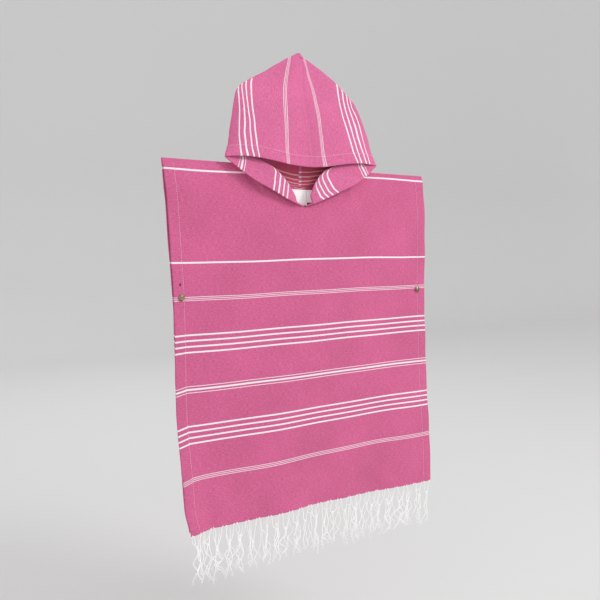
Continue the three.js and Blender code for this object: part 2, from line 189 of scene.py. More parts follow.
def towellingCloth(name, stripes, mirrored, tint=(1, 1, 1, 1), paintedShadeFrom=None):
    material, tree, shader = nodeTree(name)
    cloth = tree.nodes.new("ShaderNodeUVMap")
    cloth.uv_map = "cloth"
    place = tree.nodes.new("ShaderNodeVectorMath")  # the map is kept in metres, the stripe tables in millimetres
    place.operation = "SCALE"
    tree.links.new(cloth.outputs[0], place.inputs[0])
    place.inputs["Scale"].default_value = 1000
    parts = tree.nodes.new("ShaderNodeSeparateXYZ")
    tree.links.new(place.outputs[0], parts.inputs[0])
    along, across = parts.outputs[0], parts.outputs[1]
    if mirrored:
        across = sums(tree, "ABSOLUTE", across)

    # threads: fine bars both ways, one over the other in turn
    turn = 2 * math.pi / towelling["thread"]
    warp, weft = (sums(tree, "SINE", sums(tree, "MULTIPLY", way, turn)) for way in (along, across))
    weave = sums(tree, "MULTIPLY", warp, weft)

    # stripes: the edge of a line steps in and out with the warp
    wobble = sums(tree, "MULTIPLY", warp, 0.12)
    ragged = sums(tree, "ADD", across, wobble)
    stripe = None
    for first, pitch, lines, wide in stripes:
        step = sums(tree, "DIVIDE", sums(tree, "SUBTRACT", ragged, first), pitch)
        nearest = sums(tree, "MINIMUM", sums(tree, "ROUND", step), lines - 1)
        nearest = sums(tree, "MAXIMUM", nearest, 0)
        middle = sums(tree, "MULTIPLY_ADD", nearest, pitch, first)
        away = sums(tree, "ABSOLUTE", sums(tree, "SUBTRACT", ragged, middle))
        line = spread(tree, away, wide / 2 + stripeBlur, wide / 2 - stripeBlur)
        stripe = line if stripe is None else sums(tree, "MAXIMUM", stripe, line)

    # heather: pale and deep fibres in short runs along the two threads, and slow changes over the cloth
    short = grain(tree, stretched(tree, place.outputs[0], 0.22, 1.1), 0.9, 3)
    long = grain(tree, stretched(tree, place.outputs[0], 1.1, 0.2), 0.9, 3)
    fleck = grain(tree, place.outputs[0], 0.75, 4, 0.7)
    slow = grain(tree, place.outputs[0], 0.012, 2)
    pale = spread(tree, fleck, 0.54, 0.78, 0, 0.85)
    runs = spread(tree, sums(tree, "MAXIMUM", short, long), 0.5, 0.8, 0, 0.55)
    light = sums(tree, "MAXIMUM", pale, runs)
    dark = spread(tree, sums(tree, "MINIMUM", short, fleck), 0.5, 0.28, 0, 0.7)
    colour = blendColours(tree, light, towelling["pink"], towelling["light"])
    colour = blendColours(tree, dark, colour, towelling["deep"])
    drift = spread(tree, slow, 0.3, 0.7, 0.93, 1.06, "LINEAR")
    tone = tree.nodes.new("ShaderNodeCombineColor")
    for socket in tone.inputs:
        tree.links.new(drift, socket)
    colour = blendColours(tree, 1.0, colour, tone.outputs[0], "MULTIPLY")
    colour = blendColours(tree, 1.0, colour, tint, "MULTIPLY")
    whiteThread = blendColours(tree, spread(tree, short, 0.35, 0.7, 0, 0.2),
                               towelling["white"], (0.86, 0.60, 0.70, 1))
    colour = blendColours(tree, sums(tree, "MULTIPLY", stripe, 0.97), colour, whiteThread)
    # painted shade: from this distance off the face edge inward the colour is darkened toward a warm deep
    # red, standing in for the shade and warm bounce light deep inside the hood
    if paintedShadeFrom:
        colour = blendColours(tree, spread(tree, along, paintedShadeFrom, paintedShadeFrom + 40), colour,
                              blendColours(tree, 1.0, colour, (0.88, 0.52, 0.5, 1), "MULTIPLY"))
    dress(tree, shader, {
        "Base Color": colour,
        "Roughness": spread(tree, fleck, 0.3, 0.7, 0.86, 0.97, "LINEAR"),
        "Sheen Weight": towelling["sheen"],
        "Sheen Roughness": 0.55,
        "Sheen Tint": (1.0, 0.82, 0.9, 1),
        "Specular IOR Level": 0.18,
    })

    height = sums(tree, "MULTIPLY_ADD", weave, 0.16, sums(tree, "MULTIPLY", fleck, 0.5))
    height = sums(tree, "MULTIPLY_ADD", stripe, 0.25, height)
    roughen(tree, shader, height, 0.5, 0.0005)
    return material


def threadCotton(name, colour, glow=0.12, paintedGlow=0.0, turns=900):
    material, tree, shader = nodeTree(name)
    place = tree.nodes.new("ShaderNodeTexCoord").outputs["Object"]
    ply = grain(tree, place, turns, 2)
    soft = grain(tree, place, turns / 12, 3)
    shade = tuple(c * 0.84 for c in colour[:3]) + (1,)
    tone = blendColours(tree, spread(tree, ply, 0.35, 0.65, 0, 0.5), colour, shade)
    dull = tuple(c * 0.9 for c in colour[:3]) + (1,)
    tone = blendColours(tree, spread(tree, soft, 0.45, 0.8, 0, 0.3), tone, dull)
    dress(tree, shader, {
        "Base Color": tone,
        "Roughness": spread(tree, soft, 0.3, 0.7, 0.8, 0.95, "LINEAR"),
        "Sheen Weight": 0.3,
        "Specular IOR Level": 0.2,
        "Subsurface Weight": glow,
        "Subsurface Radius": (0.002, 0.0016, 0.0016),
        "Emission Color": colour,
        # painted glow: emission that makes the thread look brighter than its lighting makes it
        "Emission Strength": paintedGlow,
    })
    roughen(tree, shader, ply, 0.4, 0.0003)
    return material


def labelTape():
    material, tree, shader = nodeTree("labelTape")
    place = tree.nodes.new("ShaderNodeTexCoord").outputs["Object"]
    rib = grain(tree, stretched(tree, place, 400, 400, 4200), 1.0, 1)
    stain = grain(tree, place, 60, 3)
    tone = blendColours(tree, spread(tree, rib, 0.3, 0.7, 0, 0.5), (0.97, 0.965, 0.95, 1),
                        (0.88, 0.875, 0.87, 1))
    tone = blendColours(tree, spread(tree, stain, 0.5, 0.8, 0, 0.2), tone, (0.85, 0.78, 0.78, 1))
    # the labels get a painted glow through their emission, not light from the lamps
    dress(tree, shader, {
        "Base Color": tone,
        "Roughness": spread(tree, rib, 0.3, 0.7, 0.5, 0.68, "LINEAR"),
        "Emission Color": tone,
        "Emission Strength": 0.22,  # painted glow: the tape gives off a little light of its own, so it stays bright white in the shade under the hood
    })
    roughen(tree, shader, rib, 0.35, 0.0002)
    return material


def agedMetal(name, bright, dull, rough, scratch):
    material, tree, shader = nodeTree(name)
    place = tree.nodes.new("ShaderNodeTexCoord").outputs["Object"]
    patch = grain(tree, place, 420, 4, 0.6)
    line = grain(tree, stretched(tree, place, 300, 300, scratch), 1.0, 2)
    worn = sums(tree, "MAXIMUM", spread(tree, patch, 0.42, 0.66),
                spread(tree, line, 0.6, 0.75, 0, 0.6))
    dress(tree, shader, {
        "Base Color": blendColours(tree, worn, dull, bright),
        "Roughness": spread(tree, patch, 0.3, 0.7, rough + 0.14, rough - 0.08, "LINEAR"),
        "Metallic": 0.9,
    })
    roughen(tree, shader, patch, 0.25, 0.0002)
    return material


bodyCloth = towellingCloth("bodyCloth", bodyStripes, False)
hoodTint = (1.09, 1.22, 1.18, 1)
hoodCloth = towellingCloth("hoodCloth", hoodStripes, True, hoodTint)
# the inner side of the hood: the same cloth, with painted shade deeper inside
hoodInsidePaintedShade = towellingCloth("hoodInsidePaintedShade", hoodStripes, True, hoodTint, 95)
# the fringe threads get a painted glow, a little emission so the white reads bright against the backdrop
fringeCotton = threadCotton("fringeCotton", (0.98, 0.97, 0.97, 1), 0.12, 0.14)
seamCotton = threadCotton("seamCotton", (0.82, 0.36, 0.52, 1), 0.05)
whiteCotton = threadCotton("whiteCotton", (0.92, 0.80, 0.86, 1), 0.05)
deepCotton = threadCotton("deepCotton", (0.42, 0.11, 0.17, 1), 0.05)
darkCotton = threadCotton("darkCotton", (0.16, 0.05, 0.075, 1), 0.0)
tape = labelTape()
snapBronze = agedMetal("snapBronze", (0.46, 0.38, 0.24, 1), (0.20, 0.155, 0.09, 1), 0.36, 300)
hookSteel = agedMetal("hookSteel", (0.62, 0.63, 0.65, 1), (0.42, 0.43, 0.45, 1), 0.34, 3500)
print("materials made")


# Meshes
def smoothObject(mesh, material):
    mesh.materials.append(material)
    mesh.polygons.foreach_set("use_smooth", [True] * len(mesh.polygons))
    made = bpy.data.objects.new(mesh.name, mesh)
    bpy.context.scene.collection.objects.link(made)
    return made


def newPiece(name, points, faces, material, uv=None):
    mesh = bpy.data.meshes.new(name)
    mesh.from_pydata([tuple(p) for p in np.asarray(points, float) * mm], [], faces)
    if uv is not None:
        layer = mesh.uv_layers.new(name="cloth")
        corners = np.zeros(len(mesh.loops), int)
        mesh.loops.foreach_get("vertex_index", corners)
        layer.data.foreach_set("uv", (np.asarray(uv, float)[corners] * mm).astype(np.float32).ravel())
    piece = smoothObject(mesh, material)
    return piece


def settle(piece):  # applies what modifiers the piece has, then fixes it to the frame
    if piece.modifiers:
        seen = piece.evaluated_get(bpy.context.evaluated_depsgraph_get())
        mesh = bpy.data.meshes.new_from_object(seen)
        piece.modifiers.clear()
        piece.data = mesh
    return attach(piece, "root")


def thicken(piece, wall, shares=None):  # gives a sheet its thickness, equally to both sides
    modifier = piece.modifiers.new("clothWall", "SOLIDIFY")
    modifier.thickness = wall * mm
    modifier.offset = 0
    modifier.use_rim = True
    modifier.use_quality_normals = True
    if shares is not None:
        group = piece.vertex_groups.new(name="wall")
        for i, share in enumerate(shares):
            group.add([i], float(share), "REPLACE")
        modifier.vertex_group = "wall"
        modifier.thickness_vertex_group = 0
    return piece


def gridFaces(columns, rows, flipped=False):
    faces = []
    for c in range(columns - 1):
        for r in range(rows - 1):
            a = c * rows + r
            face = (a, a + 1, a + rows + 1, a + rows)
            faces.append(face[::-1] if flipped else face)
    return faces


def tube(path, radius, sides):  # a round thread along a path, as points and faces
    path = np.asarray(path, float)
    ahead = np.gradient(path, axis=0)
    ahead /= np.linalg.norm(ahead, axis=1)[:, None] + 1e-9
    side = np.cross(ahead, (0.13, 1, 0.07))
    side /= np.linalg.norm(side, axis=1)[:, None] + 1e-9
    over = np.cross(ahead, side)
    radius = np.broadcast_to(np.asarray(radius, float), (len(path),))
    points, faces = [], []
    for i, p in enumerate(path):
        for k in range(sides):
            a = 2 * math.pi * k / sides
            points.append(p + radius[i] * (math.cos(a) * side[i] + math.sin(a) * over[i]))
    for i in range(len(path) - 1):
        for k in range(sides):
            a, b = i * sides + k, i * sides + (k + 1) % sides
            faces.append((a, b, b + sides, a + sides))
    faces.append(tuple(range(sides))[::-1])
    faces.append(tuple((len(path) - 1) * sides + k for k in range(sides)))
    return points, faces


def gather(parts):  # joins several lists of points and faces
    points, faces = [], []
    for p, f in parts:
        start = len(points)
        points.extend(p)
        faces.extend(tuple(i + start for i in face) for face in f)
    return points, faces


# Body panels
body = {"length": 562, "sideHem": 18, "leftTop": -156.5, "rightTop": -162.5, "hem": -720.5,
        "wall": 1.25, "hemWall": 2.0, "stitch": 16.5, "lowHem": 3}
neck = {"x": 4, "half": 92, "front": 65, "back": 34, "power": 1.35}
sectionNames = ("down", "left", "right", "frontEdge", "frontMid", "backEdge", "backMid")
sections = [dict(zip(sectionNames, row)) for row in (
    (0, -233, 266, -8.0, -8.0, -6.3, -6.3),
    (12, -231.5, 267, -10.9, -12.8, -5.2, -5.0),
    (62, -227, 270.5, -13.2, -18.0, -5.0, -4.6),
    (146, -222.5, 272.5, -14.2, -21.5, -5.6, -4.8),
    (206, -219, 272.5, -14.0, -22.5, -7.0, -5.0),
    (280, -219, 273, -17.0, -23.8, -9.8, -5.6),
    (380, -219.5, 273.5, -22.5, -26.5, -14.4, -7.0),
    (475, -216.5, 276, -29.0, -29.0, -18.5, -9.0),
    (530, -215, 276, -33.0, -30.3, -21.0, -11.0),
    (562, -208.5, 275.5, -35.0, -31.0, -22.5, -12.0),
)]
slowFolds = {
    "front": [{"waves": 1.6, "phase": 0.35, "depth": 2.6, "from": 180},
              {"waves": 3.4, "phase": 1.9, "depth": 1.2, "from": 300}],
    "back": [{"waves": 1.9, "phase": 2.6, "depth": 1.8, "from": 220}],
}
cornerCurl = {"width": 46, "from": 380, "front": 13, "back": 9}
backInset = 4


def sideEdges(down):
    left, right = readAt(sections, "down", "left", down), readAt(sections, "down", "right", down)
    return (left + right) / 2, (right - left) / 2


def acrossAt(x, down):  # -1 at the left edge of the body, 1 at the right one
    middle, half = sideEdges(down)
    return (x - middle) / half


def panelPoint(panel, side, down):
    side, down = np.broadcast_arrays(np.asarray(side, float), np.asarray(down, float))
    middle, half = sideEdges(down)
    length = body["length"]
    inset = backInset * ease(down / length) if panel == "back" else 0
    edgeY = readAt(sections, "down", panel + "Edge", down)
    middleY = readAt(sections, "down", panel + "Mid", down)
    y = edgeY + (middleY - edgeY) * (1 - side * side) ** 2
    for fold in slowFolds[panel]:
        growth = ease((down - fold["from"]) / (length - fold["from"]))
        y = y + fold["depth"] * growth * np.sin(math.pi * fold["waves"] * side + fold["phase"])
    curl = ease(1 - ((side + 1) * half) / cornerCurl["width"])
    y = y - cornerCurl[panel] * curl * ease((down - cornerCurl["from"]) / (length - cornerCurl["from"]))
    top = body["leftTop"] + (body["rightTop"] - body["leftTop"]) * (side + 1) / 2
    return np.stack([middle + side * (half - inset), y, top - down * (top - body["hem"]) / length], -1)


def sideOfNeck(stop, hand=1):
    return acrossAt(neck["x"] + hand * stop * neck["half"], 0)


def neckDrop(panel, stop):
    return neck[panel] * (1 - np.minimum(np.abs(stop), 1) ** neck["power"])


snaps = [{"name": "left", "x": -207.5}, {"name": "right", "x": 254.5}]
snapDown = 206
# Short creases on the chest, fanning out from under the ends of the hood: start, end, depth, width
chestCreases = [
    ((-92, -172), (-62, -196), 1.5, 5),
    ((-103, -176), (-72, -216), 1.2, 6),
    ((-112, -170), (-104, -226), 0.8, 8),
    ((93, -176), (70, -208), 1.1, 6),
    ((104, -180), (98, -232), 0.7, 8),
    ((-48, -214), (-20, -262), 0.8, 12),
    ((52, -214), (36, -270), 0.7, 12),
]


def creaseDepth(points, creases):
    total = np.zeros(points.shape[:-1])
    flat = points[..., [0, 2]]
    for start, end, deep, wide in creases:
        a, b = np.array(start, float), np.array(end, float)
        run = b - a
        t = ((flat - a) @ run) / (run @ run)
        near = a + np.clip(t, 0, 1)[..., None] * run
        away = np.linalg.norm(flat - near, axis=-1)
        fade = ease(1 - np.abs(np.clip(t, -0.4, 1.4) - 0.35) / 0.9)
        total += deep * fade * (bump(away, wide) - 0.5 * bump(away - wide * 1.4, wide))
    return total


def panelGrid(panel, columns, rows):
    edge = 1 - body["sideHem"] / sideEdges(0)[1] * 1.15
    side = np.concatenate([
        np.linspace(-1, -edge, 22)[:-1], np.linspace(-edge, edge, columns), np.linspace(edge, 1, 22)[1:],
    ])
    share = np.concatenate([
        np.linspace(0, 0.04, 14)[:-1], np.linspace(0.04, 0.975, rows), np.linspace(0.975, 1, 10)[1:],
    ])
    x = panelPoint(panel, side, 0)[:, 0]
    top = neckDrop(panel, (x - neck["x"]) / neck["half"])
    down = top[:, None] + share[None, :] * (body["length"] - top[:, None])
    sides = np.broadcast_to(side[:, None], down.shape)
    return sides, down, panelPoint(panel, sides, down)


def panelRelief(panel, sides, down, points):
    out = -1 if panel == "front" else 1
    half = sideEdges(down)[1]
    fromEdge = (1 - np.abs(sides)) * half
    x, z = points[..., 0], points[..., 2]
    y = 0.9 * rumple(points * (1, 0, 1), 120, 2) + 0.35 * rumple(points * (1, 0, 1), 38, 5)
    y += 0.16 * rumple(points * (1, 0, 1), 11, 8)
    stitched = bump(fromEdge - body["stitch"], 1.3)
    y += out * -0.5 * stitched
    along = down / 13 + 0.6 * rumple(points * (1, 0, 1), 60, 3)
    pucker = np.sin(2 * math.pi * along) * bump(fromEdge - 11, 9)
    y += 0.28 * pucker + out * 0.5 * np.sin(2 * math.pi * down / 74 + sides * 2) * bump(fromEdge, 14)
    for snap in snaps:
        snapZ = panelPoint(panel, float(acrossAt(snap["x"], snapDown)), snapDown)[2]
        dx, dz = x - snap["x"], z - snapZ
        away = np.hypot(dx, dz)
        spokes = 1 + 0.5 * np.cos(np.arctan2(dz, dx) * 7)
        y += out * (-0.7 * bump(away, 7) + 0.45 * spokes * bump(away - 11, 4))
    if panel == "front":
        y += out * creaseDepth(points, chestCreases)
    low = ease((down - 470) / 92)
    y += low * (0.8 * np.sin(x / 17 + 1.3 * rumple(points * (1, 0, 0), 70, 6)) + 0.35 * np.sin(x / 7.3))
    still = ease(down / 9) * ease((body["length"] - down) / 3 + 0.45)  # the seams keep their line
    moved = points.copy()
    moved[..., 1] += y * still
    return moved


def clothMap(panel, sides, down):
    half = sideEdges(down)[1]
    fromLeft = (sides + 1) * half
    sag = np.where(fromLeft < 18, 1 - fromLeft / 18, 0) * 4.5 * ease((down - 230) / 160)
    x = sides * half
    wave = 0.8 * np.sin(x / 61 + down / 90) + 0.5 * np.sin(x / 23 + down / 55)
    climb = 6.5 * ease((x + 215) / 390)  # cut a little off the thread, so the stripes climb to the right
    return np.stack([x, down - sag * (panel == "front") + climb + wave * 0.5], -1)


def makePanel(panel):
    sides, down, points = panelGrid(panel, 150, 160)
    moved = panelRelief(panel, sides, down, points)
    uv = clothMap(panel, sides, down)
    half = sideEdges(down)[1]
    fromEdge = (1 - np.abs(sides)) * half
    lowHem = ease((down - body["length"] + body["lowHem"]) / 1.5)
    double = np.maximum(ease((body["stitch"] + 1.5 - fromEdge) / 2), lowHem)
    thin = body["wall"] / body["hemWall"]
    share = thin + (1 - thin) * double
    columns, rows = sides.shape
    piece = newPiece(panel + "Cloth", moved.reshape(-1, 3), gridFaces(columns, rows, panel == "back"),
                     bodyCloth, uv.reshape(-1, 2))
    thicken(piece, body["hemWall"], share.ravel())
    settle(piece)
    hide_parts(panel + "_panel")
    return piece


def onBody(x, z):  # the cloth's place under a point seen from the front
    x, z = np.broadcast_arrays(np.asarray(x, float), np.asarray(z, float))
    side, down = x / 250, -160 - z
    for step in range(4):
        top = body["leftTop"] + (body["rightTop"] - body["leftTop"]) * (side + 1) / 2
        down = (top - z) * body["length"] / (top - body["hem"])
        side = acrossAt(x, down)
    return side, down


def bodyFace(panel, side, down, wall):  # a point on the outside of the finished panel, and the way out
    side, down = np.broadcast_arrays(np.asarray(side, float), np.asarray(down, float))
    out = -1 if panel == "front" else 1
    place = panelRelief(panel, side, down, panelPoint(panel, side, down))
    place[..., 1] += out * wall / 2
    return place, np.broadcast_to(np.array((0.0, out, 0.0)), place.shape)


frontCloth = makePanel("front")
backCloth = makePanel("back")
print("body panels made")


# Hood
hood = {"tip": 20.3, "soft": 0.045, "stops": (0, 0.42, 0.74, 1), "stitch": 16.5, "wall": 1.2, "hemWall": 2.0,
        "nub": 1.6, "rib": 285, "end": 300}
# Ribs of the hood from the face edge to the back seam: distance along the edge, the points where the
# rib starts, bends in front, folds over and ends, and how far its front bend is tucked in on the right
ribs = []
for along, *corners, tuck in (
    (0, (0, -34, -160.2), (0, -28, -72), (0, -19, 14), (0, -11.5, 20.3), 0),
    (7, (7, -34, -160.2), (6.8, -28, -72), (5, -18.4, 14), (0, -7.6, 17.6), 0),
    (16, (16, -34, -159.6), (15.5, -27.6, -72), (10, -17, 13), (0, -6.2, 9), 0),
    (38, (38, -33, -157.4), (35, -26, -75), (25, -13.4, 11), (0, -5.6, -10), 0),
    (76, (78, -31, -151), (73, -25, -80), (74, -11.8, -10), (0, -5.4, -40), 0),
    (108, (106, -29, -148.5), (101, -23, -92), (110, -11, -34), (0, -5.3, -65), 0),
    (128, (124, -27, -148.8), (117, -20, -104), (121, -10.8, -56), (0, -5.2, -81), -1.5),
    (146, (140, -24, -150), (133, -17, -128), (133, -11.4, -106), (0, -5.1, -95), -3.5),
    (153, (143.5, -22, -151.5), (136, -17, -138), (129, -12.5, -118), (0, -5.1, -101), -3.5),
    (170, (128, -25.5, -163), (121, -20, -148), (119, -13, -124), (0, -5.1, -114), -1),
    (200, (98, -28, -183), (92, -24.5, -156), (110, -13, -130), (0, -5.1, -140), 12),
    (236, (62, -28.5, -199), (58, -26.5, -165), (104, -12.5, -138), (0, -5, -166.5), 27),
    (264, (36, -27, -210.5), (33, -25, -185), (99, -11.5, -146), (0, -5, -186.5), 19),
    (285, (16, -25.5, -218.5), (19, -23.5, -204.5), (95.5, -9.5, -153.5), (0, -5, -190.8), 8),
):
    row = {"along": along, "tuck": tuck}
    for name, corner in zip(("edge", "front", "fold", "seam"), corners):
        row.update(zip((name + "X", name + "Y", name + "Z"), corner))
    ribs.append(row)
hoodMiddle = [{"down": down, "x": x} for down, x in ((0, 0), (60, -4), (125, 5), (186, 8), (240, 5))]
frontStops = [0.01, 0.14, 0.28, 0.42, 0.55, 0.67, 0.79, 0.9, 1]
backStops = [1, 0.86, 0.66, 0.44, 0.22, 0]
ribRows = [0, 0.09, 0.19, 0.3, 0.42, 0.52, 0.6, 0.67, 0.74, 0.79, 0.84, 0.9, 0.95, 1]
seamLift = {"front": 1.5, "back": 0.6}
# The cloth is drawn in toward the tip and pulled askew, so the stripes leave the ribs by these shifts:
# a row for each distance along the face edge, a column for each share of the way from that edge to the seam
askew = {
    "share": (0, 0.1, 0.3, 0.45, 0.55, 0.65, 0.72, 1),
    -1: ((0, (0, 0, 0, 0, 0, 0, 0, 0)), (37, (-2.5, -4, -1.5, 2, 4, 6, 8, 0)),
         (92, (6.5, 2, -1, 0, 5, 10, 12, 0)),
         (102, (4.5, 0.5, -2, 0, 6, 11, 13, 0)), (113, (1.5, -1, -3, 0, 5.5, 11.5, 13, 0)),
         (126, (-1, -3, -6, -4.5, 2, 12, 13, 0)), (150, (0, 0, -2, -1, 2, 7, 7, 0)),
         (180, (0, 0, 0, 0, 0, 0, 0, 0)),
         (225, (0, 0, 0, 0, 0, 0, 0, -6.5)), (300, (0, 0, 0, 0, 0, 0, 0, -6.5))),
    1: ((0, (0, 0, 0, 0, 0, 0, 0, 0)), (10, (2, 3, 3, 2, 1, 9, 27, 8)), (20, (4, 6, 6, 4, 2, 18, 24, 6)),
        (30, (6, 8.5, 8, 4.5, 3, 15, 18, 4)), (83, (-3, 4, 9, 12.5, 14, 15, 15, 0)),
        (95, (-6, 1, 6, 9, 13, 16, 16, 0)),
        (109, (-6, -3, 2, 3, 8, 18, 18, 0)), (126, (-9.5, -8, -5, -3.5, -0.5, 9, 10, 0)),
        (150, (-4, -3, -2, -1, 0, 4, 5, 0)), (180, (0, 0, 0, 0, 0, 0, 0, 0)),
        (225, (0, -3, 0, 8, 9, 5, 2, 0)),
        (275, (0, -3, 0, 7, 8, 5, 2, 0)), (300, (0, 0, 0, 0, 0, 0, 0, 0))),
}
# How much the crown rides up and the shoulder stands out beside the ribs, left and right
crown = {"along": (0, 7, 16, 38, 55, 66, 76, 94, 108, 128, 146, 153, 170, 300),
         "up": {-1: (3, 6, 7.5, 3.5, 0, -4, -4.8, -2.2, 0, 0, 0, 0, 0, 0),
                1: (4, 3.8, 4, 3, 2, 1.4, 1, 0.6, 0, 0, 0, 0, 0, 0)},
         "out": {-1: (0, 0, 0, 0, 0, 0, 0, -1.5, -4.5, -6, -4, -2, 0, 0),
                 1: (0, 0, 0, 0, 0, 0, 1, 1, 0, 1.5, 3.5, 4, 2, 0)}}


def stripeShift(hand, along, share):
    columns = np.array([np.interp(share, askew["share"], row) for at, row in askew[hand]])
    shift = np.array([np.interp(along, [at for at, row in askew[hand]], column) for column in columns.T]).T
    soft = np.ones(9) / 9
    padded = np.pad(shift, ((0, 0), (4, 4)), mode="edge")
    return np.array([np.convolve(row, soft, mode="valid") for row in padded])


def ribPoints(hand, along, share):
    corners = [np.stack([readAt(ribs, "along", name + a, along) for a in "XYZ"], -1)
               for name in ("edge", "front", "fold", "seam")]
    if hand > 0:
        corners[1][..., 0] -= readAt(ribs, "along", "tuck", along)
    corners[2][..., 2] += np.interp(along, crown["along"], crown["up"][hand])
    corners[2][..., 0] += np.interp(along, crown["along"], crown["out"][hand])
    stops = hood["stops"]

    def straight(at):
        stop = 0 if at < stops[1] else 1 if at < stops[2] else 2
        t = (at - stops[stop]) / (stops[stop + 1] - stops[stop])
        point = corners[stop] * (1 - t) + corners[stop + 1] * t
        if stop == 2:  # behind the neck the ribs level out toward the back seam
            level = 1 - (1 - t) ** 2.4
            share = 0.35 + 0.65 * ease((np.asarray(along) - 150) / 45)
            point[..., 2] += share * (level - t) * (corners[3][..., 2] - corners[2][..., 2])
        return point
    rows = []
    for at in share:
        reach = min(hood["soft"] * 1.6, at, 1 - at)
        near = [straight(at + reach * k) for k in (-1, -0.5, 0, 0.5, 1)]
        rows.append(sum(w * p for w, p in zip((0.12, 0.23, 0.3, 0.23, 0.12), near)))
    found = np.stack(rows, 1)
    found[..., 0] = found[..., 0] * hand + readAt(hoodMiddle, "down", "x", hood["tip"] - found[..., 2])
    return found


def hoodNeckLine(hand, share):
    rowStops, panels = frontStops + backStops[1:], ["front"] * 9 + ["back"] * 5
    anchors = []
    for stop, panel in zip(rowStops, panels):
        p = panelPoint(panel, float(sideOfNeck(stop, hand)), float(neckDrop(panel, stop)))
        lift = seamLift[panel]
        if stop == 1:
            behind = panelPoint("back", float(sideOfNeck(1, hand)), 0)
            p = np.array([p[0], (p[1] + behind[1]) / 2, p[2] + lift])
        else:
            p = p + np.array([-hand * stop * lift * 0.8 * (panel == "front"), 0, lift])
        anchors.append(p)
    anchors = np.array(anchors)
    return np.stack([np.interp(share, ribRows, anchors[:, axis]) for axis in range(3)], -1)


def hoodHalf(hand, along, share):
    rib = ribPoints(hand, along, share)
    steps = 8  # from the last rib on, the cloth runs down to the neckline
    line = hoodNeckLine(hand, share)
    last = rib[-1]
    before = rib[-2]
    extra = []
    for k in range(1, steps + 1):
        t = k / steps
        bend = (last - before) * (1 - t) ** 2 * t * 1.2
        extra.append(last * (1 - t) + line * t + bend)
    return np.concatenate([rib, np.stack(extra)], 0)


def makeHood():
    dense = 150
    main = np.linspace(0, 1, dense)
    along = hood["rib"] * (0.55 * main + 0.45 * main ** 1.15)
    share = np.unique(np.concatenate([np.linspace(0, 1, 120), ribRows]))
    halves = {hand: hoodHalf(hand, along, share) for hand in (-1, 1)}
    alongAll = np.concatenate([along, hood["rib"] + (hood["end"] - hood["rib"]) * np.linspace(0, 1, 9)[1:]])
    # left half, turned round, then the right half without its first column, which is the crown line
    points = np.concatenate([halves[-1][::-1], halves[1][1:]], 0)
    signed = np.concatenate([-alongAll[::-1], alongAll[1:]])
    columns, rows = points.shape[:2]
    half = columns // 2
    run = np.zeros((columns, rows))
    run[:, 1:] = np.cumsum(np.linalg.norm(np.diff(points, axis=1), axis=-1), axis=1)
    away = np.abs(signed)
    # relief, along the cloth's own normal
    du, dv = np.gradient(points, axis=0), np.gradient(points, axis=1)
    normal = np.cross(dv, du)
    normal /= np.linalg.norm(normal, axis=-1)[..., None] + 1e-9
    s = np.broadcast_to(share[None, :], (columns, rows))
    u = np.broadcast_to(signed[:, None], (columns, rows))
    lift = -bump(u - 1.5, 2.2) * ease(1.15 - s) * (0.6 + 1.0 * ease((60 - run) / 60))
    lift += 0.7 * bump(u - 7, 5) - 0.4 * bump(u + 9, 6)
    fan = ease((s - 0.1) / 0.3) * ease((0.9 - s) / 0.2)
    lift += fan * (1.1 * np.sin(u / 15 + 0.7) * bump(u, 90) + 0.7 * np.sin(u / 8.5 + 2) * bump(u, 45))
    lift += 0.8 * rumple(points, 60, 12) + 0.35 * rumple(points, 22, 14) + 0.14 * rumple(points, 9, 17)
    lift += -0.45 * bump(run - hood["stitch"], 1.2)
    lift += 0.3 * np.sin(u / 2.1 + 2 * rumple(points, 40, 4)) * bump(run - 10, 8)
    quiet = ease((hood["end"] - np.abs(u)) / 30) * ease((1 - s) / 0.03)
    tip = points[half, -1]
    near = np.linalg.norm(points - tip, axis=-1)
    moved = points + normal * (lift * quiet)[..., None]
    facing = np.sign(normal @ np.array((0, -1, 0.4)))
    moved += hood["nub"] * bump(near, 6)[..., None] * facing[..., None] * normal
    aside = np.abs(moved[..., 0] - tip[0])
    rounded = np.minimum(moved[..., 2], hood["tip"] - 0.2 - 0.02 * aside ** 2)
    moved[..., 2] = np.where(aside < 9, rounded, moved[..., 2])
    shift = np.where(u < 0, stripeShift(-1, away, share), stripeShift(1, away, share))
    across = (np.abs(u) + shift) * np.sign(u)
    wave = 0.4 * np.sin(run / 40 + u / 30)
    uv = np.stack([run, across + wave], -1)
    # the two halves share the points of the back seam
    number = np.arange(columns * rows).reshape(columns, rows)
    for c in range(half + 1, columns):
        number[c, rows - 1] = number[columns - 1 - c, rows - 1]
    used, compact = np.unique(number, return_inverse=True)
    compact = compact.reshape(number.shape)
    faces, corners = [], []
    for c in range(columns - 1):
        for r in range(rows - 1):
            quad = [(c, r), (c + 1, r), (c + 1, r + 1), (c, r + 1)]
            kept = []
            for q in quad:
                if compact[q] not in [compact[k] for k in kept]:
                    kept.append(q)
            if len(kept) > 2:
                faces.append(tuple(int(compact[q]) for q in kept))
                corners.extend(kept)
    flat = moved.reshape(-1, 3)[used]
    piece = newPiece("hoodCloth", flat, faces, hoodCloth)
    layer = piece.data.uv_layers.new(name="cloth")
    values = np.array([uv[q] for q in corners]) * mm
    layer.data.foreach_set("uv", values.astype(np.float32).ravel())
    double = ease((hood["stitch"] + 1.5 - run) / 2).reshape(-1)[used]
    thin = hood["wall"] / hood["hemWall"]
    thicken(piece, hood["hemWall"], thin + (1 - thin) * double)
    # the inner side of the hood takes the material with the painted shade
    piece.data.materials.append(hoodInsidePaintedShade)
    piece.modifiers["clothWall"].material_offset = 1
    settle(piece)
    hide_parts("hood")
    return piece, moved, normal, run, signed


hoodPiece, hoodPoints, hoodNormal, hoodRun, hoodAlong = makeHood()
print("hood made")


# Back seam of the hood: the two halves are joined by a narrow pressed ridge on the inside
backSeam = {"from": 150, "to": 286, "half": 2.6, "high": 0.7, "wall": 0.5, "off": 0.75}


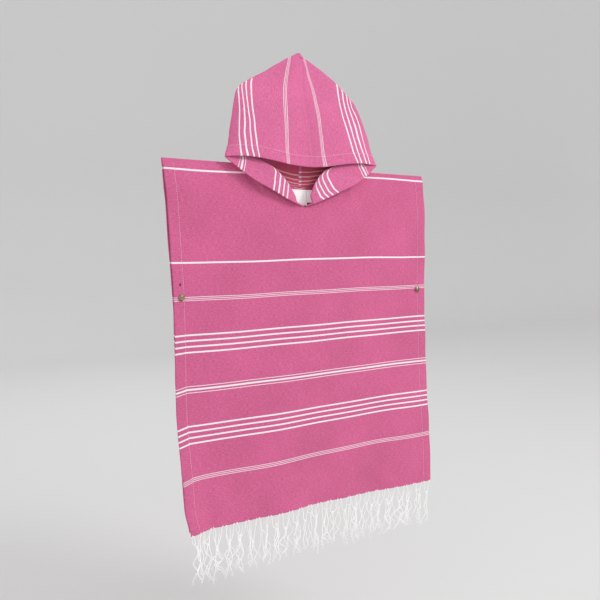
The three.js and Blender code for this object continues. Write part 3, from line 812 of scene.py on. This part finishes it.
def makeBackSeam():
    columns = [c for c in range(len(hoodAlong)) if backSeam["from"] <= hoodAlong[c] <= backSeam["to"]]
    line = np.array([hoodPoints[c, -1] for c in columns])
    across = np.linspace(-1, 1, 9)
    points = line[:, None, :] + across[None, :, None] * np.array((backSeam["half"], 0, 0))
    ridge = backSeam["off"] + backSeam["high"] * (1 - across ** 2)
    ridge = ridge + 0.08 * np.sin(line[:, None, 2] / 1.3 + across * 3)
    points[..., 1] -= ridge
    uv = np.stack([np.broadcast_to(400 + across * backSeam["half"], points.shape[:2]),
                   np.broadcast_to(hoodAlong[columns][:, None], points.shape[:2])], -1)
    piece = newPiece("hoodBackSeam", points.reshape(-1, 3), gridFaces(len(columns), 9, True),
                     hoodCloth, uv.reshape(-1, 2))
    thicken(piece, backSeam["wall"])
    settle(piece)
    return piece, line


hoodSeamRidge, seamLine = makeBackSeam()
print("back seam made")


# Stitches: short raised threads that dip into the cloth at both ends
def stitchRow(line, out, length, gap, thread, lift):
    run = np.concatenate([[0], np.cumsum(np.linalg.norm(np.diff(line, axis=0), axis=1))])
    parts, start = [], gap
    while start + length < run[-1]:
        at = np.linspace(start, start + length, 7)
        spot = np.stack([np.interp(at, run, line[:, k]) for k in range(3)], -1)
        way = np.stack([np.interp(at, run, out[:, k]) for k in range(3)], -1)
        rise = lift * np.sin(np.linspace(0, math.pi, len(at))) ** 0.6 - thread * 0.9
        parts.append(tube(spot + way * rise[:, None], thread, 4))
        start += length + gap * random.uniform(0.85, 1.15)
    return parts


def stitchPiece(name, parts, material):
    points, faces = gather(parts)
    return settle(newPiece(name, points, faces, material))


sewing = {"length": 2.7, "gap": 1.1, "thread": 0.2, "lift": 0.34}
sew = (sewing["length"], sewing["gap"], sewing["thread"], sewing["lift"])
for panel in ("front", "back"):
    rows = []
    for hand in (-1, 1):
        down = np.linspace(5, body["length"] - 4, 400)
        side = hand * (1 - body["stitch"] / sideEdges(down)[1])
        face, out = bodyFace(panel, side, down, body["hemWall"])
        rows += stitchRow(face, out, *sew)
    stitchPiece(panel + "HemStitches", rows, whiteCotton)

# Along the neckline, just below the edge of the turned collar
neckStitch = {
    "right": [(108, -178), (98, -190.5), (80, -200), (62, -208), (45, -215.5), (28, -223)],
    "left": [(-84, -184), (-70, -192.5), (-52, -203), (-36, -211.5), (-22, -219)],
}
rows = []
for side in neckStitch.values():
    corner = np.array(side, float)
    t = np.linspace(0, len(corner) - 1, 90)
    x = np.interp(t, range(len(corner)), corner[:, 0])
    z = np.interp(t, range(len(corner)), corner[:, 1])
    face, out = bodyFace("front", *onBody(x, z), body["wall"])
    rows += stitchRow(face, out, 2.3, 1.2, 0.17, 0.26)
stitchPiece("neckStitches", rows, seamCotton)

# Face hem of the hood, seen on both sides of the cloth
outward = hoodNormal * np.sign(hoodNormal[len(hoodAlong) // 2, 3] @ np.array((0, -1, 0)))
line, out = (np.array([[np.interp(hood["stitch"], run, row[:, k]) for k in range(3)]
                       for run, row in zip(hoodRun, rows)]) for rows in (hoodPoints, outward))
for name, low, high, thread in (
    ("faceHemStitches", -156, 156, whiteCotton), ("collarStitchesLeft", -284, -156, seamCotton),
    ("collarStitchesRight", 156, 284, seamCotton),
):
    kept = (hoodAlong > low) & (hoodAlong < high)
    rows = []
    for face in (-1, 1):
        rows += stitchRow(line[kept] + face * out[kept] * hood["hemWall"] * 0.4, face * out[kept], *sew)
    stitchPiece(name, rows, thread)

# Back seam stitches and the short bar sewn above the left snap
ahead = np.tile((0.0, -1.0, 0.0), (len(seamLine), 1))
rows = stitchRow(seamLine + np.array((-1.3, -1.35, 0)), ahead, 2.2, 1.0, 0.16, 0.3)
stitchPiece("backSeamStitches", rows, deepCotton)
rows = []
for k in range(6):
    x = np.full(12, -210.5 + k * 0.6)
    face, out = bodyFace("front", *onBody(x, np.linspace(-340.5, -346.5, 12)), body["hemWall"])
    rows += stitchRow(face, out, 4.6 + 0.3 * random.random(), 0.5, 0.22, 0.4)
stitchPiece("barTack", rows, darkCotton)
print("stitches made")


# Fringe: two-ply threads that run out along the hem, turn down and are tied in pairs
fringe = {"pairs": 24, "runOut": 8.6, "root": 4.4, "knotDown": 33, "end": 4.6, "length": 84, "wander": 5.4,
          "ply": 0.38, "thread": 0.42, "turn": 4.6, "knotRadius": 1.5, "hair": 0.16, "loose": 30}


def scatter(seed):
    value = math.sin(seed * 12.9898) * 43758.5453
    return (value - math.floor(value)) * 2 - 1


def softPath(corners, steps):  # a smooth curve through its corners, evenly stepped
    corners = np.asarray(corners, float)
    padded = np.concatenate([[2 * corners[0] - corners[1]], corners, [2 * corners[-1] - corners[-2]]])
    found = []
    for i in range(1, len(padded) - 2):
        a, b, c, d = padded[i - 1:i + 3]
        t = np.linspace(0, 1, 12, endpoint=i == len(padded) - 3)[:, None]
        square, cube = 2 * a - 5 * b + 4 * c - d, 3 * b - a - 3 * c + d
        found.append(0.5 * (2 * b + (c - a) * t + square * t ** 2 + cube * t ** 3))
    found = np.concatenate(found)
    run = np.concatenate([[0], np.cumsum(np.linalg.norm(np.diff(found, axis=0), axis=1))])
    at = np.linspace(0, run[-1], steps)
    return np.stack([np.interp(at, run, found[:, k]) for k in range(3)], -1), run[-1]


def threadLine(panel, pair, hand):
    low = body["length"]
    left, right = panelPoint(panel, -1, low)[0], panelPoint(panel, 1, low)[0]
    x = left + (right - left) * (pair + 0.5) / fringe["pairs"]
    seed = pair * 2 + (1 if hand > 0 else 0) + (200 if panel == "back" else 0)
    drift = fringe["wander"] * scatter(pair + (90 if panel == "back" else 30))
    reach = [fringe["runOut"] + 0.8 * scatter(seed + 1), fringe["root"] + 1.6 + 0.8 * scatter(seed + 2)]
    bow = fringe["root"] + 0.6 + 1.5 * scatter(seed + 4)
    knot = fringe["knotDown"] - 3 + 9 * scatter(pair + 50)
    ends = fringe["length"] - 6 + 9 * scatter(seed + 7)
    curl = 6.5 * scatter(seed + 11)
    tail = fringe["end"] + 1.5 * scatter(seed)
    table = [  # sideways, below the hem, toward the viewer
        (hand * reach[0], -1.6, 0.2), (hand * (reach[0] - 1.4), -0.9, 1.7),
        (hand * (reach[0] + reach[1]) / 2, -0.3, 2.0),
        (hand * reach[1], 2.4, 1.8), (hand * bow, 9, 1.2 + 0.8 * scatter(seed + 5)),
        (hand * bow * 0.86 + drift * 0.4, 19, 0.9 * scatter(seed + 6)), (hand + drift, knot, 0.3 * hand),
        (hand * (1.5 + 0.4 * curl) + drift, knot + 11, 1.8 * scatter(seed + 8)),
        (hand * tail * 0.75 + curl + drift, (2 * knot + ends) / 3 + 5, 2.4 * scatter(seed + 9)),
        (hand * tail * 0.4 - 0.6 * curl + drift, (knot + 2 * ends) / 3, 2.6 * scatter(seed + 3)),
        (hand * tail + 0.3 * curl + drift + 2.5 * scatter(seed + 15), ends - 7, 2 * scatter(seed + 17)),
        (hand * tail + 1.1 * curl + drift, ends + 2 * scatter(seed + 19), 3 * scatter(seed + 13)),
    ]
    line = []
    for across, below, toward in table:
        px = float(np.clip(x + across, left + 0.6, right - 0.6)) if below < 3 else float(x + across)
        side = np.clip(acrossAt(px, low), -1, 1)
        y = panelPoint(panel, side, low)[1] + hemWave(panel, side)
        line.append((px, y - toward, body["hem"] - below - 0.3))
    return line, (x + drift, line[6][1], body["hem"] - knot)


def hemWave(panel, side):  # how far the relief has moved the hem edge itself
    place = panelPoint(panel, side, body["length"])
    moved = panelRelief(panel, np.array([side]), np.array([body["length"]]), place[None])
    return float(moved[0, 1] - place[1])


def twoPly(line, steps):
    path, length = softPath(line, steps)
    ahead = np.gradient(path, axis=0)
    ahead /= np.linalg.norm(ahead, axis=1)[:, None]
    side = np.cross(ahead, (0.13, 1, 0.07))
    side /= np.linalg.norm(side, axis=1)[:, None]
    over = np.cross(ahead, side)
    run = np.linspace(0, length, steps)
    loose = ease((run - length + fringe["loose"]) / fringe["loose"])  # the ends open out and thin away
    angle = 2 * math.pi * run / fringe["turn"]
    plies = []
    for k in (0, 1):
        apart = fringe["ply"] * (1 + 1.8 * loose)
        around = (angle + k * math.pi)[:, None]
        turned = apart[:, None] * (np.cos(around) * side + np.sin(around) * over)
        plies.append(tube(path + turned, fringe["thread"] * (1 - 0.62 * loose), 5))
    hairs = []
    for k in range(7):
        grow = np.linspace(0, 1, 8)[:, None]
        away = np.array([random.uniform(-5, 5), random.uniform(-2, 2), random.uniform(-7, 2)])
        bend = np.array([random.uniform(-4, 4), random.uniform(-1.5, 1.5), 0])
        start = path[-1 - random.randrange(0, max(2, steps // 4))]
        line = start + away * grow + bend * np.sin(grow * math.pi)
        hairs.append(tube(line, fringe["hair"] * np.linspace(1, 0.4, 8), 3))
    return plies + hairs


def tiedKnot(place):
    t = np.linspace(0, 1, 40)
    radius = fringe["knotRadius"] * (0.75 + 0.35 * np.sin(t * math.pi))
    angle = t * 2 * math.pi * 2.6 + place[0]
    coil = np.stack([np.cos(angle) * radius, np.sin(angle) * radius * 0.85, (0.5 - t) * 3.4], -1)
    return tube(coil + np.array(place), 0.62, 6)


def makeFringe(panel):
    parts = []
    for pair in range(fringe["pairs"]):
        for hand in (-1, 1):
            line, knot = threadLine(panel, pair, hand)
            parts += twoPly(line, 84)
        parts.append(tiedKnot(knot))
    points, faces = gather(parts)
    piece = settle(newPiece(panel + "Fringe", points, faces, fringeCotton))
    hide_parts(panel + "_fringe")
    return piece


frontFringe = makeFringe("front")
backFringe = makeFringe("back")
print("fringe made")


# Blank labels under the back neckline: a folded tape each, sewn in at the top
labels = {"top": 35.5, "off": 1.5, "fold": 0.28, "wall": 0.3, "pieces": [
    {"name": "labelMain", "node": "label_main", "left": -11, "right": 19,
     "drop": 25, "bow": 0.5, "flat": 0.0502},
    {"name": "labelSmall", "node": "label_small", "left": 19.8, "right": 31.5,
     "drop": 20, "bow": -0.4, "flat": 0.0402},
]}


def makeLabel(row):
    x = np.linspace(row["left"], row["right"], 22)
    down = np.linspace(0, row["drop"], 20)
    turn = np.linspace(0, math.pi, 8)[1:-1]
    away = np.concatenate([down, row["drop"] + labels["fold"] * np.sin(turn), down[::-1]])
    off = labels["fold"] * np.concatenate([np.full(20, 1), np.cos(turn), np.full(20, -1)])
    xs, drops = np.broadcast_arrays(x[:, None], away[None, :])
    place = panelPoint("back", acrossAt(xs, labels["top"]), labels["top"] + drops)
    low = ease(drops / row["drop"])
    share = (xs - row["left"]) / (row["right"] - row["left"])
    curl = low * (0.55 + row["bow"] * np.sin(share * math.pi * 1.4))
    place[..., 1] -= labels["off"] + off[None, :] + curl + 0.06 * np.sin(xs * 1.9 + drops)
    piece = newPiece(row["name"], place.reshape(-1, 3), gridFaces(*xs.shape), tape)
    thicken(piece, labels["wall"])
    settle(piece)
    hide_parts(row["node"])
    return piece


labelPieces = [makeLabel(row) for row in labels["pieces"]]
rows = []
for row in labels["pieces"]:
    x = np.linspace(row["left"] + 0.5, row["right"] - 0.5, 30)
    down = labels["top"] + 2.2
    place = panelPoint("back", acrossAt(x, down), down)
    place[:, 1] -= labels["off"] + labels["fold"] + labels["wall"] / 2 + 0.1
    rows += stitchRow(place, np.tile((0.0, -1.0, 0.0), (30, 1)), 1.8, 0.9, 0.14, 0.25)
stitchPiece("labelStitches", rows, whiteCotton)
print("labels made")


# Snaps: domed caps in front, rings behind. Rows are radius and depth.
snapCap = [(0, 0.36), (0.8, 0.3), (1.2, 0.1), (2.0, 0.12), (3.0, 0.38), (3.9, 0.8), (4.3, 1.12), (4.42, 1.3),
           (4.75, 1.36), (4.9, 1.6), (4.85, 1.95), (4.5, 2.2), (0, 2.2)]
snapRing = [(0, 0.8), (0.8, 0.76), (1.2, 0.5), (2.5, 0.6), (2.9, 1.0), (3.4, 1.06), (3.9, 0.8),
            (4.25, 0.35), (4.2, 0), (0, 0)]


def turnedPiece(name, profile, place, material, around=40):
    points, faces = [], []
    for radius, depth in profile[1:-1]:
        for k in range(around):
            a = 2 * math.pi * k / around
            across, up = radius * math.cos(a), radius * math.sin(a)
            points.append((place[0] + across, place[1] + depth, place[2] + up))
    rings = len(profile) - 2
    for i in range(rings - 1):
        for k in range(around):
            n = (k + 1) % around
            faces.append((i * around + k, i * around + n, (i + 1) * around + n, (i + 1) * around + k))
    for ring, depth in ((0, profile[0][1]), (rings - 1, profile[-1][1])):
        points.append((place[0], place[1] + depth, place[2]))
        for k in range(around):
            face = (len(points) - 1, ring * around + (k + 1) % around, ring * around + k)
            faces.append(face if ring == 0 else face[::-1])
    piece = newPiece(name, points, faces, material)
    edge = piece.modifiers.new("edge", "BEVEL")
    edge.width, edge.segments, edge.limit_method, edge.angle_limit = 0.0001, 2, "ANGLE", math.radians(35)
    return settle(piece)


for snap in snaps:
    side = acrossAt(snap["x"], snapDown)
    ahead, behind = panelPoint("front", side, snapDown), panelPoint("back", side, snapDown)
    outer = 2.2 - 0.7 + 0.4
    place = (snap["x"], ahead[1] - outer - 2.2, ahead[2])
    cap = turnedPiece("snapCap" + snap["name"].title(), snapCap, place, snapBronze)
    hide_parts("snap_cap_" + snap["name"])
    place = (snap["x"], behind[1] + outer, ahead[2])
    ring = turnedPiece("snapRing" + snap["name"].title(), snapRing, place, snapBronze)
    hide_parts("snap_back_" + snap["name"])
print("snaps made")


# Each panel is cut 499 mm wide, with 18 mm turned in at both sides, less the neckline.
print("sheets declared")


# Light and stage
def softLight(name, place, target, size, power, colour=(1, 1, 1)):
    data = bpy.data.lights.new(name, "AREA")
    data.shape = "DISK"
    data.size = size
    data.energy = power
    data.color = colour
    lamp = bpy.data.objects.new(name, data)
    bpy.context.scene.collection.objects.link(lamp)
    lamp.location = place
    lamp.rotation_euler = (Vector(target) - Vector(place)).to_track_quat("-Z", "Y").to_euler()


# A pale studio sweep far behind the garment, so every side of it can be looked at
sweep = {"floor": -1.02, "back": 4.5, "bend": 1.2, "front": -6, "side": 7, "top": 4.2,
         "colour": (0.72, 0.72, 0.72, 1)}


def makeSweep():
    turn = np.linspace(0, math.pi / 2, 24)
    profile = [(sweep["front"], sweep["floor"])]
    bend = sweep["bend"]
    profile += [(sweep["back"] - bend + bend * math.sin(a), sweep["floor"] + bend * (1 - math.cos(a)))
                for a in turn]
    profile.append((sweep["back"], sweep["top"]))
    points = [(x, y, z) for x in (-sweep["side"], sweep["side"]) for y, z in profile]
    n = len(profile)
    faces = [(i, n + i, n + i + 1, i + 1) for i in range(n - 1)]
    material, tree, shader = nodeTree("sweepPaint")
    place = tree.nodes.new("ShaderNodeTexCoord").outputs["Object"]
    shade = tuple(c * 0.985 for c in sweep["colour"][:3]) + (1,)
    tone = blendColours(tree, grain(tree, place, 3, 3), sweep["colour"], shade)
    dress(tree, shader, {"Base Color": tone, "Roughness": 0.95})
    mesh = bpy.data.meshes.new("sweep")
    mesh.from_pydata(points, [], faces)
    smoothObject(mesh, material)


makeSweep()
softLight("keyLight", (1.5, -2.3, 1.5), (0.05, 0, -0.35), 1.2, 37, (1, 0.985, 0.98))
softLight("fillLight", (-2.4, -2.2, 0.2), (0, 0, -0.4), 2.2, 3, (0.97, 0.98, 1))
softLight("backLight", (0.4, 2.6, 1.6), (0, 0, -0.35), 1.6, 16)
world = bpy.data.worlds.new("studio")
world.use_nodes = True
world.node_tree.nodes["Background"].inputs[0].default_value = (1, 1, 1, 1)
world.node_tree.nodes["Background"].inputs[1].default_value = 0.80
bpy.context.scene.world = world
print("light and stage set")

for name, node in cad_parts.items():  # the pieces that keep their turned shape get the metals
    if name.startswith("snap") or name == "wall_hook":
        node.data.materials.clear()
        node.data.materials.append(hookSteel if name == "wall_hook" else snapBronze)
